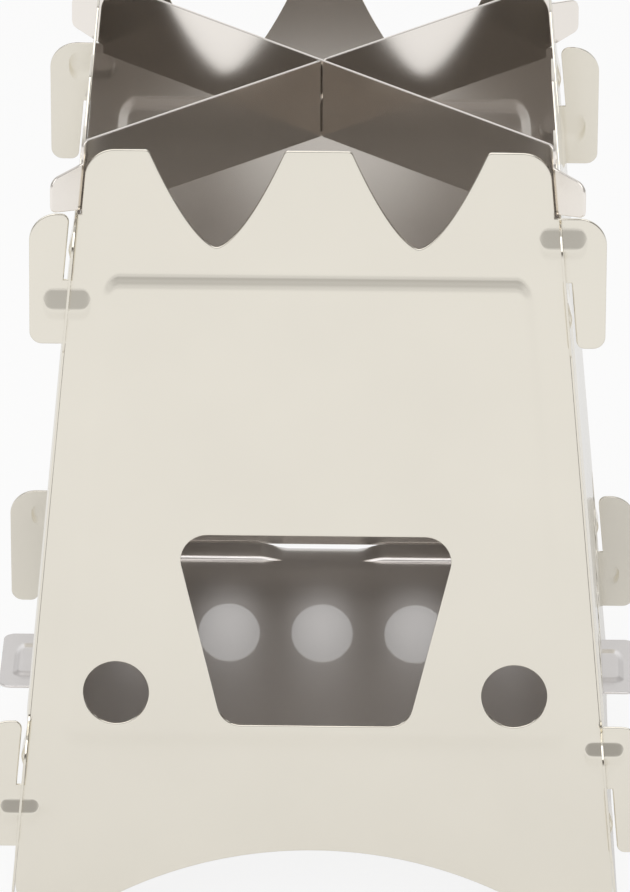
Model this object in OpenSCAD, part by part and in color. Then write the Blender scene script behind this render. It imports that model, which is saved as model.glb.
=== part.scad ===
// Knock-down twig stove: four leaning sheet panels hooked together at the corners,
// a pressed floor tray and two crossed bars that carry the pot.
// Millimetres, +Z up, origin on the ground under the middle of the stove, fuel door at -Y.

/* [Overall] */
// Outer width across opposite panels at the ground
base_w = 150; // [142:1:160]
// Height of a panel, measured up its slope
panel_h = 196.8; // [192:0.2:204]
// Inward lean of every panel from upright, in degrees
lean = 5.3; // [4.8:0.1:5.8]
// Thickness of the panel and tray sheet
sheet = 0.6; // [0.5:0.05:0.7]
// Working clearance between sheets that stay hooked together
play = 0.15; // [0.1:0.05:0.2]

/* [Crown] */
// Distance of each notch's middle from the panel's centre line
notch_u = 24.3; // [23:0.1:25]
// Depth of a notch below the crown
notch_depth = 24.2; // [20:0.2:26]
// Width of a notch at the crown
notch_w = 32.8; // [28:0.2:36]
// Power of the curve that forms a notch
notch_power = 1.54; // [1.4:0.02:2]
// Radius of the tooth corners beside a notch
tooth_r = 1.2; // [0.6:0.1:1.6]
// Radius of the crown's outer corners
crown_r = 7; // [4:0.5:9]

/* [Air holes] */
// Diameter of an air hole
hole_d = 16; // [12:0.5:18]
// Spacing of the air holes
hole_pitch = 24.3; // [22:0.1:25]
// Height of the air holes' centres up the slope
hole_v = 59.1; // [58.5:0.1:64]

/* [Fuel door] */
// Height of the door's sill up the slope
door_v = 50.9; // [50:0.1:54]
// Height of the door
door_h = 48.9; // [42:0.1:56]
// Width of the door at its top
door_top_w = 69.2; // [62:0.2:76]
// Width of the door at its sill
door_sill_w = 45.4; // [38:0.2:52]
// Radius of the door's upper corners
door_top_r = 6.5; // [4:0.5:8]
// Radius of the door's lower corners
door_sill_r = 6; // [4:0.5:8]

/* [Feet] */
// Radius of the arch between the feet
arch_r = 104.5; // [100:0.5:112]
// Height of the arch's top up the slope
arch_v = 18.2; // [15:0.1:20]
// Radius of the feet's outer corners
foot_r = 9; // [6:0.5:10]

/* [Pressed field] */
// Rise of the pressed field out of the panel
field_rise = 0.45; // [0.3:0.05:0.6]
// Width of the sloping step round the field
field_step = 5.1; // [3.5:0.1:6]
// Width of the slope along the field's two sides
field_side_step = 3.2; // [2.5:0.1:5]
// Height of the field's lower edge up the slope
field_low_v = 44.5; // [43:0.1:45]
// Distance of the field's upper edge below the crown
field_drop = 30.4; // [28:0.1:35]
// Distance of the field's sides from the corner of the stove
field_inset = 7.7; // [7:0.1:10]
// Corner radius of the field
field_r = 7; // [5:0.5:8]

/* [Corner hooks] */
// Height of a hook
hook_h = 32.6; // [30:0.2:34]
// Reach of a hook beyond the corner of the stove
hook_reach = 9.5; // [8:0.1:11]
// Height of the lower hooks' undersides up the slope
hook_low_v = 18.6; // [17:0.1:20]
// Distance of the upper hooks' tops below the crown
hook_drop = 16.2; // [14:0.1:18]
// Radius of a hook's upper outer corner
hook_top_r = 6.8; // [4:0.1:7]
// Radius of a hook's lower outer corner
hook_low_r = 3; // [2:0.5:3.5]
// Radius of the inner corner of a hook's finger tip
tip_r = 2; // [1:0.5:2.5]
// Gap between a finger and the dimple it passes
finger_gap = 0.4; // [0.3:0.05:0.5]

/* [Dimples] */
// Length of a dimple across the corner
dimple_l = 10.7; // [9:0.1:12]
// Width of a dimple
dimple_w = 3.8; // [3.2:0.1:4.2]
// Rise of a dimple out of the panel
dimple_rise = 0.8; // [0.5:0.1:0.9]
// Height of a dimple's middle above the underside of the half hook it stiffens
dimple_v = 8.8; // [8:0.1:12]

/* [Pot supports] */
// Thickness of the bars
bar_t = 0.8; // [0.6:0.1:1]
// Height of the bars
bar_h = 20; // [18.5:0.1:22]
// Height of the bars' top edges above the crown
bar_above = 1.9; // [1:0.1:3]
// Distance by which a bar's upper end stands out beyond its lower end
bar_over = 1.3; // [0.8:0.1:1.6]
// Radius of the bars' upper corners
bar_r = 2; // [1:0.5:3]
// Reach of a tongue beyond the corner of the stove, along the bar
tongue_reach = 8.6; // [7.5:0.1:10]
// Height of a tongue at its root
tongue_h = 12; // [10.5:0.1:12.5]
// Fall of a tongue's top edge towards its end
tongue_fall = 1.5; // [0.5:0.1:2]
// Climb of a tongue's bottom edge towards its end
tongue_climb = 2.2; // [1:0.1:2.5]
// Radius of a tongue's upper end corner
tongue_top_r = 3; // [1.5:0.1:3.5]
// Radius of a tongue's lower end corner
tongue_low_r = 1.8; // [0.5:0.1:2.5]
// Clearance round pieces that lift out
lift_gap = 0.3; // [0.25:0.05:0.4]

/* [Floor tray] */
// Height of the tray's floor above the ground
tray_z = 35; // [34:0.1:37]
// Rise of the tray's rim above its floor
rim_rise = 1.5; // [1:0.1:1.8]
// Distance of the tray's floor from its outer edge
rim_w = 8.7; // [8:0.1:11]
// Width of the sloping step from the rim down to the floor
rim_step = 3; // [2:0.1:5]
// Width of the breaks in the front and rear rims, at floor level
break_w = 18; // [15:0.5:20]
// Width of the sloping ends of the rims at the breaks
break_step = 7.4; // [5:0.2:8]
// Corner radius of the tray
tray_r = 4; // [3:0.5:6]
// Length of a side tab
tab_l = 31.7; // [28:0.1:34]
// Reach of a side tab beyond the panel
tab_reach = 8.5; // [7.5:0.1:9]
// Radius of a side tab's outer corners
tab_r = 3; // [2:0.5:4]
// Length of the bump on a side tab
bump_l = 21; // [18:0.1:24]
// Width of the bump on a side tab
bump_w = 11; // [9:0.1:12]
// Rise of the bump on a side tab
bump_rise = 0.8; // [0.6:0.1:1]
// Reach of the bump beyond the panel
bump_reach = 5.5; // [4.5:0.1:6]
// Clearance at the ends of a tab slot
slot_end_gap = 0.5; // [0.3:0.1:0.8]

/* [Hidden] */

$fn = 96;
// Straight pieces in each rounded outline corner and in half a notch
corner_steps = 8;
notch_steps = 10;
// Overlap that makes cuts run past the faces they open
cut = 1;

steel = [0.80, 0.78, 0.73];
steel_in_shade = [0.68, 0.66, 0.62];

// Thickness of a leaning sheet measured level
sheet_level = sheet / cos(lean);
hook_mid = hook_h / 2;
hook_high_end = panel_h - hook_drop;
hook_high_v = hook_high_end - hook_h;
hook_low_end = hook_low_v + hook_h;
arch_half = sqrt(arch_r * arch_r - (arch_r - arch_v) * (arch_r - arch_v));
// Radius of the round bar whose top forms a dimple
dimple_round = (dimple_w * dimple_w / 4 + dimple_rise * dimple_rise) / (2 * dimple_rise);
field_high_v = panel_h - field_drop;
hole_rows_plain = [-2, -1, 0, 1, 2];
hole_rows_front = [-2, 2];

crown_z = panel_h * cos(lean);
bar_top = crown_z + bar_above;
bar_low = bar_top - bar_h;
bar_mid = bar_top - bar_h / 2;
bar_end = sqrt(2) * (half_at_z(crown_z) - sheet_level - lift_gap) - bar_t / 2;
tongue_low = hook_high_end * cos(lean) + lift_gap;
tongue_high = tongue_low + tongue_h;
tongue_end = sqrt(2) * half_at_z(tongue_low + tongue_h / 2) + tongue_reach;

tray_half = half_at_z(tray_z + rim_rise) - sheet_level - lift_gap;
tab_end = half_at_z(tray_z) + tab_reach;
bump_mid = half_at_z(tray_z) + bump_reach - bump_w / 2;
// Inset of a pressed bump's flat top from its outline
bump_step = bump_rise * 2.5;
slot_low = (tray_z - sheet - play) / cos(lean);
slot_high = (tray_z + bump_rise + play + sheet * sin(lean)) / cos(lean);

// Distance of the stove's corner from a panel's centre line, a length v up the slope
function half_at(v) = base_w / 2 - v * sin(lean);

// The same distance at a height z above the ground
function half_at_z(z) = base_w / 2 - z * tan(lean);

// Edge of a panel between the hooks, just inside the neighbour's inner face
function edge_at(v) = half_at(v) - sheet_level - play;

// Edge of a panel above the hooks, set back so that a bar can drop in at the corner
function relief_at(v) = half_at(v) - sheet_level - sqrt(2) * (bar_t / 2 + lift_gap);

// Inner edge of a hook's finger, just outside the neighbour and its dimple
function finger_at(v) = half_at(v) + dimple_rise + finger_gap;

// Outer edge of a hook whose underside is at v
function hook_end(v) = half_at(v + hook_mid) + hook_reach;

function unit(a) = a / norm(a);

function turn_of(a, b) = a.x * b.y - a.y * b.x;

// Points of a corner at b, between a and c, rounded to radius r
function corner(a, b, c, r) =
    let (
        back = unit([a.x - b.x, a.y - b.y]),
        ahead = unit([c.x - b.x, c.y - b.y]),
        half_angle = acos(back * ahead) / 2,
        middle = [b.x, b.y] + unit(back + ahead) * r / sin(half_angle),
        first = [b.x, b.y] + back * r / tan(half_angle) - middle,
        sweep = (180 - 2 * half_angle) * sign(turn_of(ahead, back))
    )
    [
        for (i = [0 : corner_steps])
            let (angle = sweep * i / corner_steps)
            middle + [
                first.x * cos(angle) - first.y * sin(angle),
                first.x * sin(angle) + first.y * cos(angle)
            ]
    ];

// Closed outline through [x, y, radius] corners, where a missing radius leaves a sharp corner
function rounded(points) =
    let (count = len(points))
    [
        for (i = [0 : count - 1])
            let (
                before = points[(i + count - 1) % count],
                here = points[i],
                after = points[(i + 1) % count]
            )
            each len(here) > 2 ? corner(before, here, after, here[2]) : [[here.x, here.y]]
    ];

// The same points seen from the other side of the centre line
function mirrored(points) =
    [for (i = [len(points) - 1 : -1 : 0])
        let (p = points[i])
        len(p) > 2 ? [-p.x, p.y, p[2]] : [-p.x, p.y]];

// Hook with its slot open below, listed upwards
function down_hook(v) =
    let (slot_end = v + hook_mid + play)
    [
        [edge_at(slot_end), slot_end],
        [finger_at(slot_end), slot_end],
        [finger_at(v), v, tip_r],
        [hook_end(v), v, hook_low_r],
        [hook_end(v), v + hook_h, hook_top_r]
    ];

// Hook with its slot open above, listed upwards
function up_hook(v) =
    let (slot_end = v + hook_mid - play)
    [
        [edge_at(v), v],
        [hook_end(v), v, hook_low_r],
        [hook_end(v), v + hook_h, hook_top_r],
        [finger_at(v + hook_h), v + hook_h, tip_r],
        [finger_at(slot_end), slot_end],
        [edge_at(slot_end), slot_end]
    ];

foot_points = [[arch_half, 0], [edge_at(0), 0, foot_r]];
shoulder_points = [
    [relief_at(hook_high_end), hook_high_end],
    [relief_at(panel_h), panel_h, crown_r]
];

right_side = concat(
    foot_points, down_hook(hook_low_v),
    [[edge_at(hook_low_end), hook_low_end]],
    down_hook(hook_high_v), shoulder_points
);
left_side = concat(
    foot_points, up_hook(hook_low_v), up_hook(hook_high_v),
    [[edge_at(hook_high_end), hook_high_end]], shoulder_points
);

// One notch in the crown, centred at u and listed from right to left
function notch(u) =
    [
        for (i = [notch_steps : -1 : -notch_steps])
            let (
                part = i / notch_steps,
                v = panel_h - notch_depth * (1 - pow(abs(part), notch_power)),
                point = [u + part * notch_w / 2, v]
            )
            abs(i) == notch_steps ? [point.x, point.y, tooth_r] : point
    ];

// Outline of a panel seen from outside: x across it and y up its slope
module panel_outline() {
    difference() {
        polygon(rounded(concat(
            right_side, notch(notch_u), notch(-notch_u), mirrored(left_side)
        )));
        translate([0, arch_v - arch_r]) circle(arch_r, $fn = 360);
    }
}

module air_holes(rows) {
    for (row = rows) translate([row * hole_pitch, hole_v]) circle(d = hole_d);
}

module fuel_door() {
    top = door_v + door_h;
    polygon(rounded([
        [-door_sill_w / 2, door_v, door_sill_r],
        [door_sill_w / 2, door_v, door_sill_r],
        [door_top_w / 2, top, door_top_r],
        [-door_top_w / 2, top, door_top_r]
    ]));
}

module tab_slot() {
    length = tab_l + 2 * slot_end_gap;
    translate([-length / 2, slot_low]) square([length, slot_high - slot_low]);
}

// Outline of the pressed field, drawn in by one margin above and below and another at the sides
module field_outline(margin, side_margin) {
    low = field_low_v + margin;
    high = field_high_v - margin;
    low_half = half_at(low) - field_inset - side_margin;
    high_half = half_at(high) - field_inset - side_margin;
    radius = field_r - margin / 2;
    polygon(rounded([
        [-low_half, low, radius], [low_half, low, radius],
        [high_half, high, radius], [-high_half, high, radius]
    ]));
}

// Block whose top forms the field: full size at the base and smaller by the step at the top
module field_block(base, depth) {
    skin = 0.01;
    hull() {
        translate([0, 0, base - depth]) linear_extrude(depth) field_outline(0, 0);
        translate([0, 0, base + field_rise - skin])
            linear_extrude(skin) field_outline(field_step, field_side_step);
    }
}

// Round bar lying across the corner, whose top rises out of the sheet as a dimple
module dimple_bar(radius) {
    run = dimple_l - dimple_w;
    translate([0, 0, dimple_rise - dimple_round]) {
        rotate([0, 90, 0]) cylinder(r = radius, h = run, center = true);
        for (side = [-1, 1]) translate([side * run / 2, 0, 0]) sphere(radius);
    }
}

// Places a dimple at the corner on the given side, a length v up the slope
module at_corner(side, v) {
    translate([side * half_at(v), v, 0]) children();
}

module at_dimples() {
    for (base = [hook_low_v, hook_high_v]) {
        at_corner(-1, base + dimple_v) children();
        at_corner(1, base + hook_mid + dimple_v) children();
    }
}

// Upper half of a dimple bar, so that nothing shows inside the panel
module dimple_cap() {
    intersection() {
        dimple_bar(dimple_round);
        translate([-dimple_l, -dimple_w, -sheet / 2]) cube([2 * dimple_l, 2 * dimple_w, sheet * 2]);
    }
}

// One pressed panel lying flat with its outer face up; children are its openings
module flat_panel() {
    difference() {
        union() {
            translate([0, 0, -sheet]) linear_extrude(sheet) panel_outline();
            field_block(0, sheet / 2);
            at_dimples() dimple_cap();
        }
        field_block(-sheet, cut);
        at_dimples() dimple_bar(dimple_round - sheet);
        translate([0, 0, -sheet - cut]) linear_extrude(sheet + field_rise + 2 * cut) children();
    }
}

// Stands a panel up on side number turn, counted anticlockwise from the front
module stood_up(turn) {
    intersection() {
        rotate([0, 0, 90 * turn]) translate([0, -base_w / 2, 0]) rotate([90 - lean, 0, 0]) children();
        translate([-base_w, -base_w, 0]) cube([2 * base_w, 2 * base_w, 2 * panel_h]);
    }
}

module plain_panel(turn) {
    stood_up(turn) flat_panel() {
        air_holes(hole_rows_plain);
        tab_slot();
    }
}

module front_panel() {
    color(steel) stood_up(0) flat_panel() {
        air_holes(hole_rows_front);
        fuel_door();
    }
}

module right_panel() {
    color(steel) plain_panel(1);
}

module rear_panel() {
    color(steel) plain_panel(2);
}

module left_panel() {
    color(steel) plain_panel(3);
}

// Square of the given half width with rounded corners
module round_square(half) {
    polygon(rounded([
        [-half, -half, tray_r], [half, -half, tray_r],
        [half, half, tray_r], [-half, half, tray_r]
    ]));
}

// Shallow dish with its floor at z and sloping sides one rim rise high
module dish(z, above) {
    skin = 0.01;
    floor_half = tray_half - rim_w;
    hull() {
        translate([0, 0, z]) linear_extrude(skin) round_square(floor_half);
        translate([0, 0, z + rim_rise]) linear_extrude(skin + above) round_square(floor_half + rim_step);
    }
}

// Channel with sloping sides through the rims, running along Y with its floor at z
module channel(z, width, step, length) {
    half = width / 2;
    rotate([90, 0, 0])
        translate([0, 0, -length / 2])
        linear_extrude(length)
        polygon([
            [-half, z], [half, z],
            [half + step, z + rim_rise], [-half - step, z + rim_rise]
        ]);
}

// All that lies below the rim: the dish and the channels that run out through the rims
module sunk_floor(z, over, above) {
    length = 2 * (tray_half + over);
    dish(z, above);
    channel(z, break_w, break_step, length);
    rotate([0, 0, 90]) channel(z, tab_l, rim_step, length);
}

module side_tab() {
    half = tab_l / 2;
    translate([0, 0, tray_z - sheet])
        linear_extrude(sheet)
        polygon(rounded([
            [tray_half - sheet, -half], [tab_end, -half, tab_r],
            [tab_end, half, tab_r], [tray_half - sheet, half]
        ]));
}

// Rounded rectangle of the bump, drawn in by a margin on every side
module bump_outline(margin) {
    x = bump_w / 2 - margin;
    y = bump_l / 2 - margin;
    radius = tab_r - margin / 2;
    translate([bump_mid, 0])
        polygon(rounded([[-x, -y, radius], [x, -y, radius], [x, y, radius], [-x, y, radius]]));
}

module bump_block(base, depth) {
    skin = 0.01;
    hull() {
        translate([0, 0, base - depth]) linear_extrude(depth) bump_outline(0);
        translate([0, 0, base + bump_rise - skin]) linear_extrude(skin) bump_outline(bump_step);
    }
}

module floor_tray() {
    rim_top = tray_z + rim_rise;
    color(steel_in_shade) difference() {
        union() {
            difference() {
                union() {
                    translate([0, 0, rim_top - sheet]) linear_extrude(sheet) round_square(tray_half);
                    sunk_floor(tray_z - sheet, 0, 0);
                }
                sunk_floor(tray_z, cut, cut);
            }
            for (side = [0, 180]) rotate([0, 0, side]) {
                side_tab();
                bump_block(tray_z, sheet / 2);
            }
        }
        for (side = [0, 180]) rotate([0, 0, side]) bump_block(tray_z - sheet, cut);
    }
}

// Half of a bar's outline, from its lower edge up to its top edge: x along it and y up
bar_side = [
    [bar_end, bar_low],
    [bar_end, tongue_low],
    [tongue_end, tongue_low + tongue_climb, tongue_low_r],
    [tongue_end, tongue_high - tongue_fall, tongue_top_r],
    [bar_end + bar_over, tongue_high],
    [bar_end + bar_over, bar_top, bar_r]
];

// One bar along a diagonal, with a half-lap slot from slot_from to slot_to
module pot_bar(angle, slot_from, slot_to) {
    slot_half = bar_t / 2 + lift_gap;
    rotate([0, 0, angle]) rotate([90, 0, 0]) translate([0, 0, -bar_t / 2]) linear_extrude(bar_t)
        difference() {
            polygon(rounded(concat(bar_side, mirrored(bar_side))));
            translate([-slot_half, slot_from]) square([2 * slot_half, slot_to - slot_from]);
        }
}

module pot_support_lower() {
    color(steel_in_shade) pot_bar(45, bar_mid - play / 2, bar_top + cut);
}

module pot_support_upper() {
    color(steel_in_shade) pot_bar(-45, bar_low - cut, bar_mid + play / 2);
}

front_panel();
right_panel();
rear_panel();
left_panel();
floor_tray();
pot_support_lower();
pot_support_upper();
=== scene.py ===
"""Twig stove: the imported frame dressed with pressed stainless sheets, on a white studio floor."""
import math

import bpy
import numpy as np
from mathutils import Matrix, Vector
from mathutils.geometry import delaunay_2d_cdt


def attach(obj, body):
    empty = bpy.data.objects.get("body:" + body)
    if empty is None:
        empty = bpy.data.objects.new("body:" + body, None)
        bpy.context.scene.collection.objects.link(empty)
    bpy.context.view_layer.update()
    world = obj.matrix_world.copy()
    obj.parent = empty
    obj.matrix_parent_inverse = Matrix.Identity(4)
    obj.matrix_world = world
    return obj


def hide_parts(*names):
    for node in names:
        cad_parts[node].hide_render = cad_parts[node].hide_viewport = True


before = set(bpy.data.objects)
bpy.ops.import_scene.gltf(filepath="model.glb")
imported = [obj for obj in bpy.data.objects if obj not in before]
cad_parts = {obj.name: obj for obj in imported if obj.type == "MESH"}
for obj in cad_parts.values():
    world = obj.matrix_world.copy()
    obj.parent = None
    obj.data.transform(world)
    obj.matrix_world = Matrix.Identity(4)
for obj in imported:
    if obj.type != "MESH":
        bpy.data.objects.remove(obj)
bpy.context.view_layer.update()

# Sizes are millimetres, as in the CAD source; meshes are scaled to metres when they are made.
MM = 0.001

# Overall
BASE_W = 150.0
PANEL_H = 196.8
LEAN = math.radians(5.3)
SHEET = 0.6
PLAY = 0.15
SEAM = 0.04

# Crown
NOTCH_U = 24.3
NOTCH_DEPTH = 24.2
NOTCH_W = 32.8
NOTCH_POWER = 1.54
TOOTH_R = 1.2
CROWN_R = 7.0

# Openings
HOLE_D = 16.0
HOLE_PITCH = 24.3
HOLE_V = 59.1
DOOR_V = 50.9
DOOR_H = 48.9
DOOR_TOP_W = 69.2
DOOR_SILL_W = 45.4
DOOR_TOP_R = 6.5
DOOR_SILL_R = 6.0

# Feet
ARCH_R = 104.5
ARCH_V = 18.2
FOOT_R = 9.0

# Pressed field
FIELD_RISE = 0.45
FIELD_STEP = 5.1
FIELD_SIDE_STEP = 3.2
FIELD_LOW_V = 44.5
FIELD_DROP = 30.4
FIELD_HIGH_V = PANEL_H - FIELD_DROP
FIELD_INSET = 7.7
FIELD_R = 7.0

# The field's slope: the shares of its width that bend at its foot and its top, and how much, from
# where and over what width its middle flattens
FOOT_BEND = 0.3
TOP_BEND = 0.4
FLAT_SHARE = 0.03
FLAT_START = 0.35
FLAT_WIDTH = 0.3

# Corner hooks
HOOK_H = 32.6
HOOK_REACH = 9.5
HOOK_LOW_V = 18.6
HOOK_DROP = 16.2
HOOK_HIGH_END = PANEL_H - HOOK_DROP
HOOK_HIGH_V = HOOK_HIGH_END - HOOK_H
HOOK_TOP_R = 6.8
HOOK_LOW_R = 3.0
TIP_R = 2.0
FINGER_GAP = 0.4

# Dimples, as middle above the low end of the hook's uncut half, length, width and slope
LOW_DIMPLE = (10.6, 9.9, 3.8, 0.188)
HIGH_DIMPLE = (11.3, 11.6, 5.2, 0.138)
DIMPLE_SQUARENESS = 8
DIMPLE_EASE = 0.4
DIMPLE_RETURN = 3.0
DIMPLE_INSIDE = 0.25
DIMPLE_ROOM = 0.8

# Pot supports
BAR_T = 0.8
BAR_H = 20.0
BAR_ABOVE = 1.9
BAR_OVER = 1.3
BAR_R = 2.0
TONGUE_REACH = 8.6
TONGUE_H = 12.0
TONGUE_FALL = 1.5
TONGUE_CLIMB = 2.2
TONGUE_TOP_R = 3.0
TONGUE_LOW_R = 1.8
LIFT_GAP = 0.3

# Floor tray
TRAY_Z = 35.0
RIM_RISE = 1.5
RIM_W = 8.2
RIM_STEP = 3.0
RIM_DISH = 0.5
RIM_BEND = 0.90
FLOOR_R = 4.0
BREAK_W = 18.0
BREAK_STEP = 7.4
TRAY_R = 4.0
TAB_L = 31.7
TAB_REACH = 8.5
TAB_R = 3.0
BUMP_L = 21.0
BUMP_W = 11.0
BUMP_RISE = 0.8
BUMP_SIDE_STEP = 1.9
BUMP_FRONT_STEP = 2.0
BUMP_REAR_STEP = 5.6
BUMP_ROUND = 1.5
BUMP_REACH = 5.5
SLOT_END_GAP = 0.5

# Cut edges, as (inset, drop, turn in degrees) from the face outwards: the punch rolls the outer
# face over at its edge, and leaves the other face nearly sharp
ROLLED = ((0.45, 0.0, 0), (0.32, 0.01, 5), (0.18, 0.03, 14), (0.08, 0.07, 34), (0.02, 0.12, 64))
CRISP = ((0.10, 0.0, 20), (0.02, 0.05, 65))
EASED = ((0.22, 0.0, 12), (0.10, 0.05, 40), (0.02, 0.13, 72))

# The plain wall of a cut edge starts at the profile's last drop times this
WALL_DROP = 1.25

# Mesh fineness: longest outline piece, grid spacing on plain and on pressed sheet, how many times finer
# the grid is along a crease, the change of slope that counts as one, and the step round an arc
OUTLINE_STEP = 2.0
PLAIN_GRID = 4.0
PRESSED_GRID = 0.7
CREASE_PARTS = 3
CREASE_BEND = 0.05
ARC_STEP = 0.5

# Fewest steps round a corner and a circle, steps in half a notch and in the arch
CORNER_STEPS = 4
CIRCLE_STEPS = 24
NOTCH_STEPS = 24
ARCH_STEPS = 60

# Mesh tolerances: reach of a slope reading, the least slope that counts as pressed, the room between
# the outline and the grid, the gap at which points merge, the least length to divide by, and how many
# outline points are measured at once
SLOPE_REACH = 0.02
LEAST_SLOPE = 1e-4
GRID_ROOM = PRESSED_GRID * 0.6
MERGE_GAP = 1e-5
TINY = 1e-9
OUTLINE_BATCH = 64

# Material slots of a sheet: its outer face with the cut edges and hooks, and its inner face, which on
# the panels gets a darker tint as painted shade inside the stove
OUTER_COAT = 0
INNER_COAT = 1

# Steel finishes, as tint and roughness, and the index of the tray's polish
PANEL_OUTSIDE = ((0.793, 0.757, 0.674), 0.13)
# The panels' inner faces are tinted darker than their outer faces: painted shade for the inside of the
# stove; their higher roughness is the steel's own
PANEL_INSIDE_SHADED = ((0.692, 0.653, 0.607), 0.24)
BAR_STEEL = ((0.90, 0.857, 0.807), 0.17)
TRAY_STEEL = ((0.735, 0.704, 0.692), 0.33)
TRAY_POLISH = 2.4
POLISH_ROUGHNESS = 0.03

# Marks in the steel, as noise scale per metre, stretch across and up the sheet, and detail
CLOUDS = (28, (1, 1), 3)
ROLLING_LINES = (1400, (0.02, 1), 2)
WAVES = (60, (1, 0.25), 2)

# The span of the noise that is used, and what it changes: tint and roughness as shares of themselves,
# roughness by an amount, and the height of the waves in metres
NOISE_SPAN = (0.3, 0.7)
TINT_SPREAD = 0.015
LINE_SPREAD = 0.025
CLOUD_GLOSS = (-0.008, 0.012)
WAVE_STRENGTH = 0.15
WAVE_HEIGHT = 0.00002

# Floor, in metres: its white glow shows to each kind of ray by a share that changes from near to far;
# in reflections the share is smaller near the stove, which paints shade into the steel there
FLOOR_HALF = 12.0
FLOOR_PAINT = (0.95, 0.95, 0.95, 1)
FLOOR_FADE = (0.08, 0.36)
FLOOR_SHARES = (
    ("Is Transmission Ray", (0.88, 0.88)),
    ("Is Glossy Ray", (0.43, 0.64)),
    ("Is Camera Ray", (0.87, 0.87)),
)

# Room in front and backdrop behind, as (height, level), with height 0 straight down and 1 straight up
ROOM_LEVELS = (
    (0.485, 1.0), (0.515, 0.75), (0.56, 0.38), (0.61, 0.13), (0.75, 0.18), (0.90, 0.46), (1.0, 0.60),
)
BACKDROP_LEVELS = ((0.60, 1.0), (0.70, 0.80), (0.87, 0.66), (1.0, 0.60))

# The backdrop comes in between two directions from front to rear, and fades to the sides to a share
BACKDROP_REAR = (-0.5, 0.3)
BACKDROP_ASIDE = (0.12, 0.40)
BACKDROP_SIDE_SHARE = 0.55

# How much of red, green and blue the dim parts of the room lose
ROOM_SHADE = (0.985, 1.0, 1.015)

# Lamp, in metres and watts
LAMP_SIZE = (2.4, 2.0)
LAMP_WATTS = 22
LAMP_PLACE = (-0.3, -1.0, 1.5)
LAMP_AIM = (0, 0, 0.1)

# Camera, in degrees and metres, with film and lens in millimetres
VIEW_AZIMUTH = -0.738
VIEW_ELEVATION = 23.415
VIEW_ROLL = 0.286
VIEW_DISTANCE = 2.0949
VIEW_AIM = (-0.00121, 0, 0.09464)
VIEW_END = 50
FILM_WIDTH = 36
LENS = 338.2

# Worked out: a panel's thickness measured level, half a hook, the height of crown and of upper hooks
SHEET_LEVEL = SHEET / math.cos(LEAN)
HOOK_MID = HOOK_H / 2
CROWN_Z = PANEL_H * math.cos(LEAN)
HIGH_HOOK_Z = HOOK_HIGH_END * math.cos(LEAN)


def half_at(v):
    """Distance of the stove's corner from a panel's centre line, a length v up the slope."""
    return BASE_W / 2 - v * math.sin(LEAN)


def half_at_z(z):
    """The same distance at a height z above the ground."""
    return BASE_W / 2 - z * math.tan(LEAN)


# Half the tray's width without its tabs
TRAY_HALF = half_at_z(TRAY_Z + RIM_RISE) - SHEET_LEVEL - LIFT_GAP


def edge_at(v):
    """Edge of a panel between the hooks."""
    return half_at(v) - SHEET_LEVEL - SEAM


def relief_at(v):
    """Edge of a panel above the hooks, where a bar drops in at the corner."""
    return half_at(v) - SHEET_LEVEL - math.sqrt(2) * (BAR_T / 2 + LIFT_GAP)


def finger_at(v):
    """Inner edge of a hook's finger."""
    return half_at(v) + DIMPLE_ROOM + FINGER_GAP


def hook_end(v):
    """Outer edge of a hook whose underside is at v."""
    return half_at(v + HOOK_MID) + HOOK_REACH


# Outlines

def rounded(corners):
    """Closed outline through (x, y) or (x, y, radius) corners, as an array of points."""
    points = []
    count = len(corners)
    for i, here in enumerate(corners):
        b = np.array(here[:2], float)
        if len(here) == 2:
            points.append(b)
            continue
        back = np.array(corners[i - 1][:2]) - b
        ahead = np.array(corners[(i + 1) % count][:2]) - b
        back /= np.linalg.norm(back)
        ahead /= np.linalg.norm(ahead)
        half_angle = math.acos(float(np.clip(back @ ahead, -1, 1))) / 2
        bisector = (back + ahead) / np.linalg.norm(back + ahead)
        centre = b + bisector * here[2] / math.sin(half_angle)
        first = b + back * here[2] / math.tan(half_angle) - centre
        turn = ahead[0] * back[1] - ahead[1] * back[0]
        sweep = (math.pi - 2 * half_angle) * math.copysign(1, turn)
        steps = max(CORNER_STEPS, round(abs(sweep) * here[2] / ARC_STEP))
        for k in range(steps + 1):
            a = sweep * k / steps
            spun = (first[0] * math.cos(a) - first[1] * math.sin(a),
                    first[0] * math.sin(a) + first[1] * math.cos(a))
            points.append(centre + spun)
    return np.array(points)


def circle(x, y, radius):
    steps = max(CIRCLE_STEPS, round(2 * math.pi * radius / ARC_STEP))
    angles = np.arange(steps) * 2 * math.pi / steps
    return np.c_[x + radius * np.cos(angles), y + radius * np.sin(angles)]


def mirrored(corners):
    """The same corners on the other side of the centre line, in the order that goes on round it."""
    return [(-c[0],) + tuple(c[1:]) for c in reversed(corners)]


def down_hook(v):
    """Hook with its slot open below, listed upwards."""
    slot_end = v + HOOK_MID + PLAY
    return [
        (edge_at(slot_end), slot_end), (finger_at(slot_end), slot_end),
        (finger_at(v), v, TIP_R), (hook_end(v), v, HOOK_LOW_R),
        (hook_end(v), v + HOOK_H, HOOK_TOP_R),
    ]


def up_hook(v):
    """Hook with its slot open above, listed upwards."""
    slot_end = v + HOOK_MID - PLAY
    return [
        (edge_at(v), v), (hook_end(v), v, HOOK_LOW_R),
        (hook_end(v), v + HOOK_H, HOOK_TOP_R), (finger_at(v + HOOK_H), v + HOOK_H, TIP_R),
        (finger_at(slot_end), slot_end), (edge_at(slot_end), slot_end),
    ]


def notch(u):
    """One notch in the crown, listed from right to left."""
    corners = []
    for i in range(NOTCH_STEPS, -NOTCH_STEPS - 1, -1):
        part = i / NOTCH_STEPS
        v = PANEL_H - NOTCH_DEPTH * (1 - abs(part) ** NOTCH_POWER)
        corner = (u + part * NOTCH_W / 2, v)
        corners.append(corner + (TOOTH_R,) if abs(i) == NOTCH_STEPS else corner)
    return corners


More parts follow.
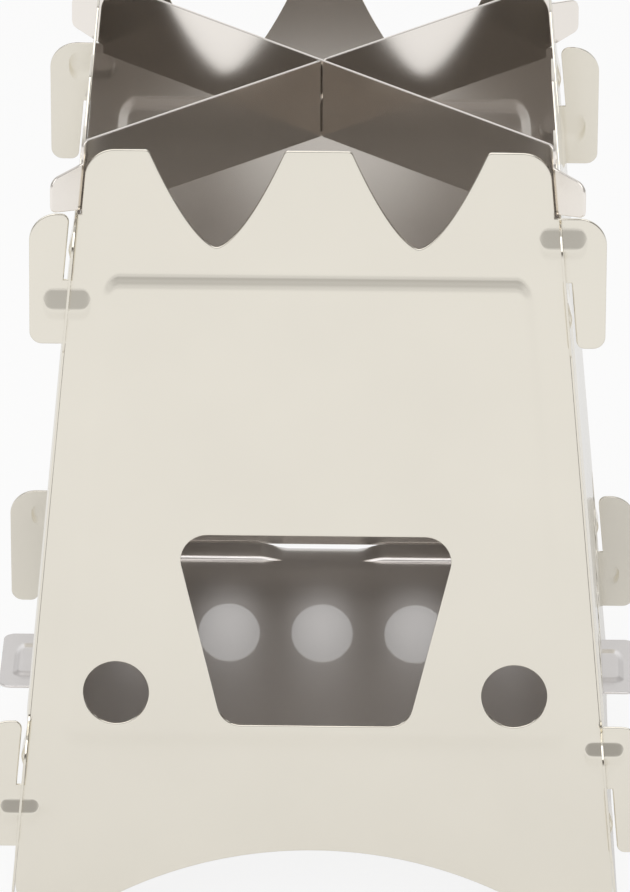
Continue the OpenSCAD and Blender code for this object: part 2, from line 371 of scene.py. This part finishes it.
def arch():
    """The arch between the feet, listed from left to right."""
    centre = ARCH_V - ARCH_R
    reach = math.asin(math.sqrt(ARCH_R ** 2 - centre ** 2) / ARCH_R)
    return [
        (ARCH_R * math.sin(a), max(0.0, centre + ARCH_R * math.cos(a)))
        for a in (reach * (2 * k / ARCH_STEPS - 1) for k in range(ARCH_STEPS + 1))
    ]


def panel_outline():
    """Outline of a panel seen from outside: x across it and y up its slope."""
    foot = [(edge_at(0), 0, FOOT_R)]
    shoulder = [(relief_at(HOOK_HIGH_END), HOOK_HIGH_END), (relief_at(PANEL_H), PANEL_H, CROWN_R)]
    low_end = HOOK_LOW_V + HOOK_H
    right = foot + down_hook(HOOK_LOW_V) + [(edge_at(low_end), low_end)]
    right += down_hook(HOOK_HIGH_V) + shoulder
    left = foot + up_hook(HOOK_LOW_V) + up_hook(HOOK_HIGH_V)
    left += [(edge_at(HOOK_HIGH_END), HOOK_HIGH_END)] + shoulder
    return rounded(arch() + right + notch(NOTCH_U) + notch(-NOTCH_U) + mirrored(left))


def door_outline():
    top = DOOR_V + DOOR_H
    return rounded([
        (-DOOR_SILL_W / 2, DOOR_V, DOOR_SILL_R), (DOOR_SILL_W / 2, DOOR_V, DOOR_SILL_R),
        (DOOR_TOP_W / 2, top, DOOR_TOP_R), (-DOOR_TOP_W / 2, top, DOOR_TOP_R),
    ])


def slot_outline():
    low = (TRAY_Z - SHEET - PLAY) / math.cos(LEAN)
    high = (TRAY_Z + BUMP_RISE + PLAY + SHEET * math.sin(LEAN)) / math.cos(LEAN)
    half = TAB_L / 2 + SLOT_END_GAP
    return np.array([(-half, low), (half, low), (half, high), (-half, high)])


def hole_outlines(places):
    """Air holes at the given places of one row, counted from the centre line."""
    return [circle(place * HOLE_PITCH, HOLE_V, HOLE_D / 2) for place in places]


# Heights of the pressed forms

def smooth(t):
    """Ease from 0 to 1 with level ends."""
    t = np.clip(t, 0, 1)
    return t * t * (3 - 2 * t)


def ramp_up(t):
    """Ease from 0 to 1 with a straight slope between two bends."""
    t = np.clip(t, 0, 1)
    area = 1 - (FOOT_BEND + TOP_BEND) / 2
    rise = np.where(t < FOOT_BEND, t * t / (2 * FOOT_BEND), t - FOOT_BEND / 2)
    rest = np.clip(t - 1 + TOP_BEND, 0, None)
    eased = (rise - rest * rest / (2 * TOP_BEND)) / area
    return (eased - FLAT_SHARE * smooth((t - FLAT_START) / FLAT_WIDTH)) / (1 - FLAT_SHARE)


def eased_start(x, ease):
    """Nothing below 0 and x above it, with a soft bend between."""
    return np.where(x > ease, x, np.clip(x + ease, 0, None) ** 2 / (4 * ease))


def past_corner(to_x, to_y):
    """Distance past a form's square core, round its corners, from the distances past it each way."""
    at_corner = (to_x > 0) & (to_y > 0)
    return np.where(at_corner, np.hypot(to_x, to_y), np.maximum(to_x, to_y))


def field_height(u, v):
    """How far the field is pressed out of a panel at each point."""
    to_low = FIELD_R - (v - FIELD_LOW_V)
    to_high = FIELD_R - (FIELD_HIGH_V - v)
    side = half_at(v) - FIELD_INSET - np.abs(u)
    to_side = FIELD_R - side * math.cos(LEAN) * FIELD_STEP / FIELD_SIDE_STEP
    beyond = past_corner(to_side, np.maximum(to_low, to_high))
    return FIELD_RISE * ramp_up((FIELD_R - beyond) / FIELD_STEP)


def dimple_height(u, v):
    """How far the dimples across the corners stand out at each point."""
    height = np.zeros_like(u)
    for base, dimple in ((HOOK_LOW_V, LOW_DIMPLE), (HOOK_HIGH_V, HIGH_DIMPLE)):
        middle, length, width, slope = dimple
        for side, start in ((-1, 0.0), (1, HOOK_MID)):
            middle_v = base + start + middle
            along = (u - side * half_at(middle_v)) / (length / 2)
            reach = width / 2 * np.clip(1 - along ** DIMPLE_SQUARENESS, 0, 1)
            down = reach - (v - middle_v)
            fall = eased_start(down, DIMPLE_EASE) - eased_start(down - 2 * reach, DIMPLE_EASE)
            past = middle_v - v - reach
            height = height + slope * fall * (1 - smooth(past / DIMPLE_RETURN))
    return height


def panel_height(u, v):
    return field_height(u, v) + dimple_height(u, v)


def panel_inner_height(u, v):
    """The inner face's height: the dimples are coined, and show less from inside."""
    return field_height(u, v) + DIMPLE_INSIDE * dimple_height(u, v)


def rim_height(x, y):
    """Height of the tray's dished rim, which breaks at the middle of each side."""
    flat = TRAY_HALF - RIM_W - FLOOR_R
    beyond = np.hypot(np.maximum(np.abs(x) - flat, 0), np.maximum(np.abs(y) - flat, 0)) - FLOOR_R
    inwards = np.clip(1 - beyond / RIM_W, 0, 1)
    bend = np.clip((inwards - RIM_BEND) / (1 - RIM_BEND), 0, 1)
    rim = 1 - RIM_DISH * inwards ** 2 - (1 - RIM_DISH) * bend ** 2
    front_break = smooth((np.abs(x) - BREAK_W / 2) / BREAK_STEP)
    side_break = smooth((np.abs(y) - TAB_L / 2) / RIM_STEP)
    return RIM_RISE * rim * front_break * side_break


def bump_height(x, y):
    """Height of the bumps on the tray's tabs, with a steep front and a long rear slope."""
    bump_mid = half_at_z(TRAY_Z) + BUMP_REACH - BUMP_W / 2
    to_x = BUMP_ROUND - (BUMP_W / 2 - np.abs(np.abs(x) - bump_mid)) / BUMP_SIDE_STEP
    end_step = np.where(y < 0, BUMP_FRONT_STEP, BUMP_REAR_STEP)
    to_y = BUMP_ROUND - (BUMP_L / 2 - np.abs(y)) / end_step
    return BUMP_RISE * smooth(BUMP_ROUND - past_corner(to_x, to_y))


def tray_height(x, y):
    return rim_height(x, y) + bump_height(x, y)


def flat_height(x, y):
    return np.zeros_like(x)


# Meshes

def finely_divided(loop, step):
    """The loop with no piece longer than step."""
    points = []
    for a, b in zip(loop, np.roll(loop, -1, axis=0)):
        parts = max(1, math.ceil(np.linalg.norm(b - a) / step))
        points += [a + (b - a) * k / parts for k in range(parts)]
    return np.array(points)


def outward(loop):
    """Unit normals of a loop's points, out of the area that it goes round anticlockwise."""
    ahead = np.roll(loop, -1, axis=0) - loop
    ahead /= np.linalg.norm(ahead, axis=1)[:, None]
    mean = ahead + np.roll(ahead, 1, axis=0)
    mean /= np.maximum(np.linalg.norm(mean, axis=1), TINY)[:, None]
    return np.c_[mean[:, 1], -mean[:, 0]]


def signed_area(loop):
    ahead = np.roll(loop, -1, axis=0)
    return 0.5 * np.sum(loop[:, 0] * ahead[:, 1] - ahead[:, 0] * loop[:, 1])


def inside_loops(points, loops):
    """True for each point inside an odd number of loops."""
    odd = np.zeros(len(points), bool)
    x, y = points[:, 0], points[:, 1]
    for loop in loops:
        for (x0, y0), (x1, y1) in zip(loop, np.roll(loop, -1, axis=0)):
            if y0 == y1:
                continue
            crosses = (y0 > y) != (y1 > y)
            odd ^= crosses & (x < x0 + (x1 - x0) * (y - y0) / (y1 - y0))
    return odd


def distance_to_loops(points, loops):
    """Distance of each point to the nearest outline point."""
    nearest = np.full(len(points), np.inf)
    outline = np.concatenate(loops)
    for start in range(0, len(outline), OUTLINE_BATCH):
        part = outline[start:start + OUTLINE_BATCH]
        gap = np.linalg.norm(points[:, None] - part[None], axis=2).min(axis=1)
        nearest = np.minimum(nearest, gap)
    return nearest


def slope_of(height, points):
    """Slopes of the height along x and y."""
    d = SLOPE_REACH
    x, y = points[:, 0], points[:, 1]
    along = (height(x + d, y) - height(x - d, y)) / (2 * d)
    across = (height(x, y + d) - height(x, y - d)) / (2 * d)
    return along, across


def bend_of(height, points, reach):
    """How much the slope changes across each point, over twice the reach."""
    changes = []
    for shift in ((reach, 0), (0, reach)):
        ahead = np.array(slope_of(height, points + shift))
        behind = np.array(slope_of(height, points - shift))
        changes.append(np.linalg.norm(ahead - behind, axis=0))
    return np.maximum(*changes)


def grid_points(low, high, step):
    """Points of a square grid between two corners."""
    xs = np.arange(low[0] + step / 2, high[0], step)
    ys = np.arange(low[1] + step / 2, high[1], step)
    return np.array(np.meshgrid(xs, ys)).reshape(2, -1).T


def pressed_points(height, low, high):
    """Points on the pressed forms of a sheet, closer together along their creases."""
    grid = grid_points(low, high, PRESSED_GRID)
    creased = bend_of(height, grid, PRESSED_GRID / 2) > CREASE_BEND
    pressed = np.hypot(*slope_of(height, grid)) > LEAST_SLOPE
    part = PRESSED_GRID / CREASE_PARTS
    shifts = grid_points((-PRESSED_GRID / 2,) * 2, (PRESSED_GRID / 2,) * 2, part)
    close = (grid[creased][:, None] + shifts).reshape(-1, 2)
    return np.concatenate([grid[pressed & ~creased], close])


def linked_piece(name, vertices, normals, faces, coats, place):
    """The finished mesh as an object in the stove's frame, with its flat shape as the grain's map."""
    spin = np.array(place.to_3x3())
    placed = vertices @ spin.T + np.array(place.translation)
    placed[:, 2] = np.maximum(placed[:, 2], 0)
    mesh = bpy.data.meshes.new(name)
    mesh.from_pydata((placed * MM).tolist(), [], faces)
    grain = mesh.uv_layers.new(name="grain")
    corner_vertex = np.zeros(len(mesh.loops), int)
    mesh.loops.foreach_get("vertex_index", corner_vertex)
    grain.data.foreach_set("uv", (vertices[corner_vertex, :2] * MM).ravel())
    mesh.polygons.foreach_set("use_smooth", np.ones(len(mesh.polygons), bool))
    mesh.polygons.foreach_set("material_index", np.array(coats, dtype=np.int32))
    mesh.update()
    mesh.normals_split_custom_set_from_vertices((normals @ spin.T).tolist())
    piece = bpy.data.objects.new(name, mesh)
    bpy.context.scene.collection.objects.link(piece)
    return piece


def sheet_mesh(name, outer, holes, heights, thickness, place, upper_edge, lower_edge):
    """A pressed sheet: its two faces follow the heights, and its cut edges have the given profiles.

    The upper face is at w = its height and place turns (x, y, w) into the stove's frame.
    """
    loops = [outer if signed_area(outer) > 0 else outer[::-1]]
    loops += [hole if signed_area(hole) < 0 else hole[::-1] for hole in holes]
    loops = [finely_divided(loop, OUTLINE_STEP) for loop in loops]
    sides = [outward(loop) for loop in loops]
    rim = np.concatenate(loops)
    rim_side = np.concatenate(sides)
    starts = np.cumsum([0] + [len(loop) for loop in loops])
    edges = []
    for start, loop in zip(starts, loops):
        edges += [(start + k, start + (k + 1) % len(loop)) for k in range(len(loop))]

    vertices, normals, faces, coats = [], [], [], []

    def add(points, w, normal):
        first = sum(len(v) for v in vertices)
        vertices.append(np.c_[points, w])
        normals.append(normal)
        return first

    def face_normals(points, height, facing):
        along, across = slope_of(height, points)
        normal = np.c_[-along, -across, np.ones(len(points))] * facing
        return normal / np.linalg.norm(normal, axis=1)[:, None]

    def band(ring_a, ring_b):
        """Quads between two rings, of which the first is nearer the upper face's middle."""
        for a, b in edges:
            faces.append((ring_a[b], ring_a[a], ring_b[a], ring_b[b]))
            coats.append(OUTER_COAT)

    def face(profile, facing):
        """One face with its rolled edge; gives the outermost ring's vertices."""
        base, height = (0.0, heights[0]) if facing > 0 else (-thickness, heights[1])
        inset = profile[0][0]
        inner = [loop - side * inset for loop, side in zip(loops, sides)]
        low, high = loops[0].min(axis=0), loops[0].max(axis=0)
        inside = [grid_points(low, high, PLAIN_GRID), pressed_points(height, low, high)]
        inside = np.concatenate(inside)
        inside = inside[inside_loops(inside, inner)]
        inside = inside[distance_to_loops(inside, inner) > GRID_ROOM]
        flat = [Vector(p) for p in np.concatenate(inner + [inside])]
        points, _, triangles, origins, _, _ = delaunay_2d_cdt(flat, edges, [], 0, MERGE_GAP)
        points = np.array([(p.x, p.y) for p in points])
        triangles = np.array(triangles)
        triangles = triangles[inside_loops(points[triangles].mean(axis=1), inner)]
        used = np.unique(triangles)
        renumber = np.full(len(points), -1)
        renumber[used] = np.arange(len(used))
        points = points[used]
        first = add(points, base + height(*points.T), face_normals(points, height, facing))
        for a, b, c in renumber[triangles] + first:
            faces.append((a, b, c) if facing > 0 else (c, b, a))
        middles = points[renumber[triangles]].mean(axis=1)
        # A panel's hooks have the outer finish on both faces, as they stand outside the stove; only
        # faces inside it get the darker inner tint, which is painted shade
        hooks = np.abs(middles[:, 0]) > half_at(middles[:, 1]) - SHEET
        coats.extend(np.where(hooks | (facing > 0), OUTER_COAT, INNER_COAT))
        index_of = {source: k for k, sources in enumerate(origins) for source in sources}
        ring = np.array([renumber[index_of[k]] for k in range(len(rim))]) + first
        for inset, drop, turn in profile[1:]:
            points = rim - rim_side * inset
            tilt = math.radians(turn)
            normal = face_normals(points, height, facing) * math.cos(tilt)
            normal[:, :2] += rim_side * math.sin(tilt)
            normal /= np.linalg.norm(normal, axis=1)[:, None]
            start = add(points, base + height(*points.T) - drop * facing, normal)
            outer_ring = np.arange(len(rim)) + start
            band(*((ring, outer_ring) if facing > 0 else (outer_ring, ring)))
            ring = outer_ring
        return ring

    top_ring = face(upper_edge, 1)
    low_ring = face(lower_edge, -1)
    level = np.c_[rim_side, np.zeros(len(rim))]
    start = add(rim, heights[0](*rim.T) - upper_edge[-1][1] * WALL_DROP, level)
    upper_wall = np.arange(len(rim)) + start
    start = add(rim, heights[1](*rim.T) - thickness + lower_edge[-1][1] * WALL_DROP, level)
    lower_wall = np.arange(len(rim)) + start
    band(top_ring, upper_wall)
    band(upper_wall, lower_wall)
    band(lower_wall, low_ring)

    return linked_piece(name, np.concatenate(vertices), np.concatenate(normals), faces, coats, place)


def dress(piece, node, body, outer, inner):
    """Puts a piece in place of its CAD node."""
    piece.data.materials.append(outer)
    piece.data.materials.append(inner)
    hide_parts(node)
    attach(piece, body)


# Materials

def fitted(tree, value, start, end, low=0.0, high=1.0):
    """Value from start to end, spread from low to high and held there."""
    fit = tree.nodes.new("ShaderNodeMapRange")
    for socket, level in (("From Min", start), ("From Max", end), ("To Min", low), ("To Max", high)):
        fit.inputs[socket].default_value = level
    tree.links.new(value, fit.inputs["Value"])
    return fit.outputs["Result"]


def combined(tree, operation, *values):
    """The result of a Math node on one or two values."""
    node = tree.nodes.new("ShaderNodeMath")
    node.operation = operation
    for value, socket in zip(values, node.inputs):
        tree.links.new(value, socket)
    return node.outputs["Value"]


def steel(name, tint, roughness, polish=None):
    """Bright rolled stainless sheet: faint rolling lines, soft clouds in tint and gloss, slight waves.

    Polish is the index of a clear skin that keeps sharp reflections over a hazy sheet.
    """
    material = bpy.data.materials.new(name)
    material.use_nodes = True
    tree = material.node_tree
    nodes, links = tree.nodes, tree.links
    shader = nodes["Principled BSDF"]
    shader.inputs["Metallic"].default_value = 1.0
    if polish:
        shader.inputs["Coat Weight"].default_value = 1.0
        shader.inputs["Coat Roughness"].default_value = POLISH_ROUGHNESS
        shader.inputs["Coat IOR"].default_value = polish

    grain = nodes.new("ShaderNodeUVMap")
    grain.uv_map = "grain"

    def noise(scale, stretch, detail):
        spread = nodes.new("ShaderNodeMapping")
        spread.inputs["Scale"].default_value = (scale * stretch[0], scale * stretch[1], scale)
        links.new(grain.outputs["UV"], spread.inputs["Vector"])
        texture = nodes.new("ShaderNodeTexNoise")
        texture.inputs["Scale"].default_value = 1.0
        texture.inputs["Detail"].default_value = detail
        links.new(spread.outputs["Vector"], texture.inputs["Vector"])
        return texture.outputs["Fac"]

    clouds = noise(*CLOUDS)
    lines = noise(*ROLLING_LINES)

    colour = nodes.new("ShaderNodeMix")
    colour.data_type = "RGBA"
    colour.inputs["A"].default_value = (*[c * (1 - TINT_SPREAD) for c in tint], 1)
    colour.inputs["B"].default_value = (*[min(1, c * (1 + TINT_SPREAD)) for c in tint], 1)
    links.new(fitted(tree, clouds, *NOISE_SPAN), colour.inputs["Factor"])
    links.new(colour.outputs["Result"], shader.inputs["Base Color"])

    low, high = roughness * (1 - LINE_SPREAD), roughness * (1 + LINE_SPREAD)
    gloss = combined(tree, "ADD", fitted(tree, lines, *NOISE_SPAN, low, high),
                     fitted(tree, clouds, *NOISE_SPAN, *CLOUD_GLOSS))
    links.new(gloss, shader.inputs["Roughness"])

    bump = nodes.new("ShaderNodeBump")
    bump.inputs["Strength"].default_value = WAVE_STRENGTH
    bump.inputs["Distance"].default_value = WAVE_HEIGHT
    links.new(noise(*WAVES), bump.inputs["Height"])
    links.new(bump.outputs["Normal"], shader.inputs["Normal"])
    return material


def studio_floor():
    """White glowing floor that takes a faint shadow, which shows more in the steel close to the stove,
    where its glow in reflections is weaker: painted shade.
    """
    material = bpy.data.materials.new("floor_white")
    material.use_nodes = True
    tree = material.node_tree
    nodes, links = tree.nodes, tree.links
    nodes.clear()
    output = nodes.new("ShaderNodeOutputMaterial")
    paint = nodes.new("ShaderNodeBsdfDiffuse")
    paint.inputs["Color"].default_value = FLOOR_PAINT
    glow = nodes.new("ShaderNodeEmission")
    glow.inputs["Strength"].default_value = 1.0
    path = nodes.new("ShaderNodeLightPath")
    place = nodes.new("ShaderNodeTexCoord")
    reach = nodes.new("ShaderNodeVectorMath")
    reach.operation = "LENGTH"
    links.new(place.outputs["Object"], reach.inputs[0])
    shader = paint.outputs["BSDF"]
    # For glossy rays the glow share is smaller near the stove: painted shade in the steel's reflection
    # of the floor
    for ray, shares in FLOOR_SHARES:
        share = fitted(tree, reach.outputs["Value"], *FLOOR_FADE, *shares)
        amount = combined(tree, "MULTIPLY", path.outputs[ray], share)
        mix = nodes.new("ShaderNodeMixShader")
        links.new(amount, mix.inputs["Fac"])
        links.new(shader, mix.inputs[1])
        links.new(glow.outputs["Emission"], mix.inputs[2])
        shader = mix.outputs["Shader"]
    links.new(shader, output.inputs["Surface"])
    return material


# The object's pieces

def upright(turn):
    """Places a flat panel on side number turn, counted anticlockwise from the front."""
    return (Matrix.Rotation(turn * math.pi / 2, 4, "Z")
            @ Matrix.Translation((0, -BASE_W / 2, 0))
            @ Matrix.Rotation(math.pi / 2 - LEAN, 4, "X"))


def make_panels(outer, inner):
    outline = panel_outline()
    plain_openings = hole_outlines((-2, -1, 0, 1, 2)) + [slot_outline()]
    front_openings = hole_outlines((-2, 2)) + [door_outline()]
    for turn, side in enumerate(("front", "right", "rear", "left")):
        openings = plain_openings if turn else front_openings
        piece = sheet_mesh(f"{side}_plate", outline, openings, (panel_height, panel_inner_height),
                           SHEET, upright(turn), ROLLED, CRISP)
        dress(piece, f"{side}_panel", "stove", outer, inner)


def make_tray(material):
    half = TRAY_HALF
    reach = half_at_z(TRAY_Z) + TAB_REACH
    tab = TAB_L / 2
    side = [
        (half, -half, TRAY_R), (half, -tab), (reach, -tab, TAB_R),
        (reach, tab, TAB_R), (half, tab), (half, half, TRAY_R),
    ]
    turned = [(-c[0], -c[1]) + tuple(c[2:]) for c in side]
    place = Matrix.Translation((0, 0, TRAY_Z))
    piece = sheet_mesh("fire_floor", rounded(side + turned), [], (tray_height, tray_height),
                       SHEET, place, EASED, CRISP)
    dress(piece, "floor_tray", "stove", material, material)


def bar_outline(slot_end, slot_opens_up):
    """Outline of a pot support with its half-lap slot: x along the bar and y up."""
    top = CROWN_Z + BAR_ABOVE
    low = top - BAR_H
    end = math.sqrt(2) * (half_at_z(CROWN_Z) - SHEET_LEVEL - LIFT_GAP) - BAR_T / 2
    tongue_low = HIGH_HOOK_Z + LIFT_GAP
    tongue_high = tongue_low + TONGUE_H
    tip = math.sqrt(2) * half_at_z(tongue_low + TONGUE_H / 2) + TONGUE_REACH
    slot = BAR_T / 2 + LIFT_GAP
    side = [
        (end, low), (end, tongue_low), (tip, tongue_low + TONGUE_CLIMB, TONGUE_LOW_R),
        (tip, tongue_high - TONGUE_FALL, TONGUE_TOP_R),
        (end + BAR_OVER, tongue_high), (end + BAR_OVER, top, BAR_R),
    ]
    if slot_opens_up:
        side = side + [(slot, top), (slot, slot_end)]
    else:
        side = [(slot, slot_end), (slot, low)] + side
    return rounded(side + mirrored(side))


def make_bars(material):
    middle = CROWN_Z + BAR_ABOVE - BAR_H / 2
    bars = (("lower", 45, middle - PLAY / 2, True), ("upper", -45, middle + PLAY / 2, False))
    for name, angle, slot_end, slot_opens_up in bars:
        turn = Matrix.Rotation(math.radians(angle), 4, "Z") @ Matrix.Rotation(math.pi / 2, 4, "X")
        place = turn @ Matrix.Translation((0, 0, BAR_T / 2))
        outline = bar_outline(slot_end, slot_opens_up)
        piece = sheet_mesh(f"{name}_bar", outline, [], (flat_height, flat_height),
                           BAR_T, place, EASED, EASED)
        dress(piece, f"pot_support_{name}", f"{name}_cross", material, material)


# Studio

def make_floor():
    half = FLOOR_HALF
    mesh = bpy.data.meshes.new("studio_floor")
    corners = [(-half, -half, 0), (half, -half, 0), (half, half, 0), (-half, half, 0)]
    mesh.from_pydata(corners, [], [(0, 1, 2, 3)])
    floor = bpy.data.objects.new("studio_floor", mesh)
    bpy.context.scene.collection.objects.link(floor)
    mesh.materials.append(studio_floor())


def make_world():
    """Pale backdrop behind and a room in front that darkens above eye level; the camera sees white."""
    world = bpy.data.worlds.new("studio")
    bpy.context.scene.world = world
    world.use_nodes = True
    tree = world.node_tree
    nodes, links = tree.nodes, tree.links
    nodes.clear()
    output = nodes.new("ShaderNodeOutputWorld")
    background = nodes.new("ShaderNodeBackground")
    place = nodes.new("ShaderNodeTexCoord")
    split = nodes.new("ShaderNodeSeparateXYZ")
    links.new(place.outputs["Generated"], split.inputs["Vector"])

    def ramp(source, stops):
        node = nodes.new("ShaderNodeValToRGB")
        links.new(source, node.inputs["Fac"])
        ends = node.color_ramp.elements
        while len(ends) < len(stops):
            ends.new(0.5)
        for end, (position, level) in zip(ends, stops):
            end.position = position
            end.color = (*[1 - (1 - level) * shade for shade in ROOM_SHADE], 1)
        return node.outputs["Color"]

    up = fitted(tree, split.outputs["Z"], -1, 1)
    behind = fitted(tree, split.outputs["Y"], *BACKDROP_REAR)
    aside = combined(tree, "ABSOLUTE", split.outputs["X"])
    kept = fitted(tree, aside, *BACKDROP_ASIDE, 1.0, BACKDROP_SIDE_SHARE)
    mix = nodes.new("ShaderNodeMix")
    mix.data_type = "RGBA"
    links.new(combined(tree, "MULTIPLY", behind, kept), mix.inputs["Factor"])
    links.new(ramp(up, ROOM_LEVELS), mix.inputs["A"])
    links.new(ramp(up, BACKDROP_LEVELS), mix.inputs["B"])
    shown = nodes.new("ShaderNodeMix")
    shown.data_type = "RGBA"
    shown.inputs["B"].default_value = (1, 1, 1, 1)
    path = nodes.new("ShaderNodeLightPath")
    links.new(path.outputs["Is Camera Ray"], shown.inputs["Factor"])
    links.new(mix.outputs["Result"], shown.inputs["A"])
    links.new(shown.outputs["Result"], background.inputs["Color"])
    links.new(background.outputs["Background"], output.inputs["Surface"])


def make_lamp():
    """One large soft lamp high in front, at a plain level."""
    lamp = bpy.data.lights.new("soft_box", "AREA")
    lamp.shape = "RECTANGLE"
    lamp.size, lamp.size_y = LAMP_SIZE
    lamp.energy = LAMP_WATTS
    holder = bpy.data.objects.new("soft_box", lamp)
    holder.location = LAMP_PLACE
    aim = Vector(LAMP_AIM) - holder.location
    holder.rotation_euler = aim.to_track_quat("-Z", "Y").to_euler()
    bpy.context.scene.collection.objects.link(holder)


def make_camera():
    """The photograph's viewpoint: far off, above the front, with a slight roll."""
    azimuth = math.radians(VIEW_AZIMUTH)
    elevation = math.radians(VIEW_ELEVATION)
    roll = math.radians(VIEW_ROLL)
    forward = Vector((math.sin(azimuth) * math.cos(elevation),
                      math.cos(azimuth) * math.cos(elevation), -math.sin(elevation)))
    level = Vector((math.cos(azimuth), -math.sin(azimuth), 0))
    over = level.cross(forward)
    right = level * math.cos(roll) + over * math.sin(roll)
    up = over * math.cos(roll) - level * math.sin(roll)
    camera = bpy.data.cameras.new("photo_view")
    camera.sensor_width = FILM_WIDTH
    camera.lens = LENS
    camera.clip_end = VIEW_END
    holder = bpy.data.objects.new("photo_view", camera)
    turn = Matrix((right, up, -forward)).transposed().to_4x4()
    holder.matrix_world = Matrix.Translation(Vector(VIEW_AIM) - forward * VIEW_DISTANCE) @ turn
    bpy.context.scene.collection.objects.link(holder)
    bpy.context.scene.camera = holder


# The inner panel steel is tinted darker: painted shade inside the stove
make_panels(steel("panel_outside", *PANEL_OUTSIDE), steel("panel_inside_shaded", *PANEL_INSIDE_SHADED))
make_tray(steel("tray_steel", *TRAY_STEEL, TRAY_POLISH))
make_bars(steel("bar_steel", *BAR_STEEL))
make_floor()
make_world()
make_lamp()
make_camera()
bpy.context.scene.view_settings.view_transform = "Standard"
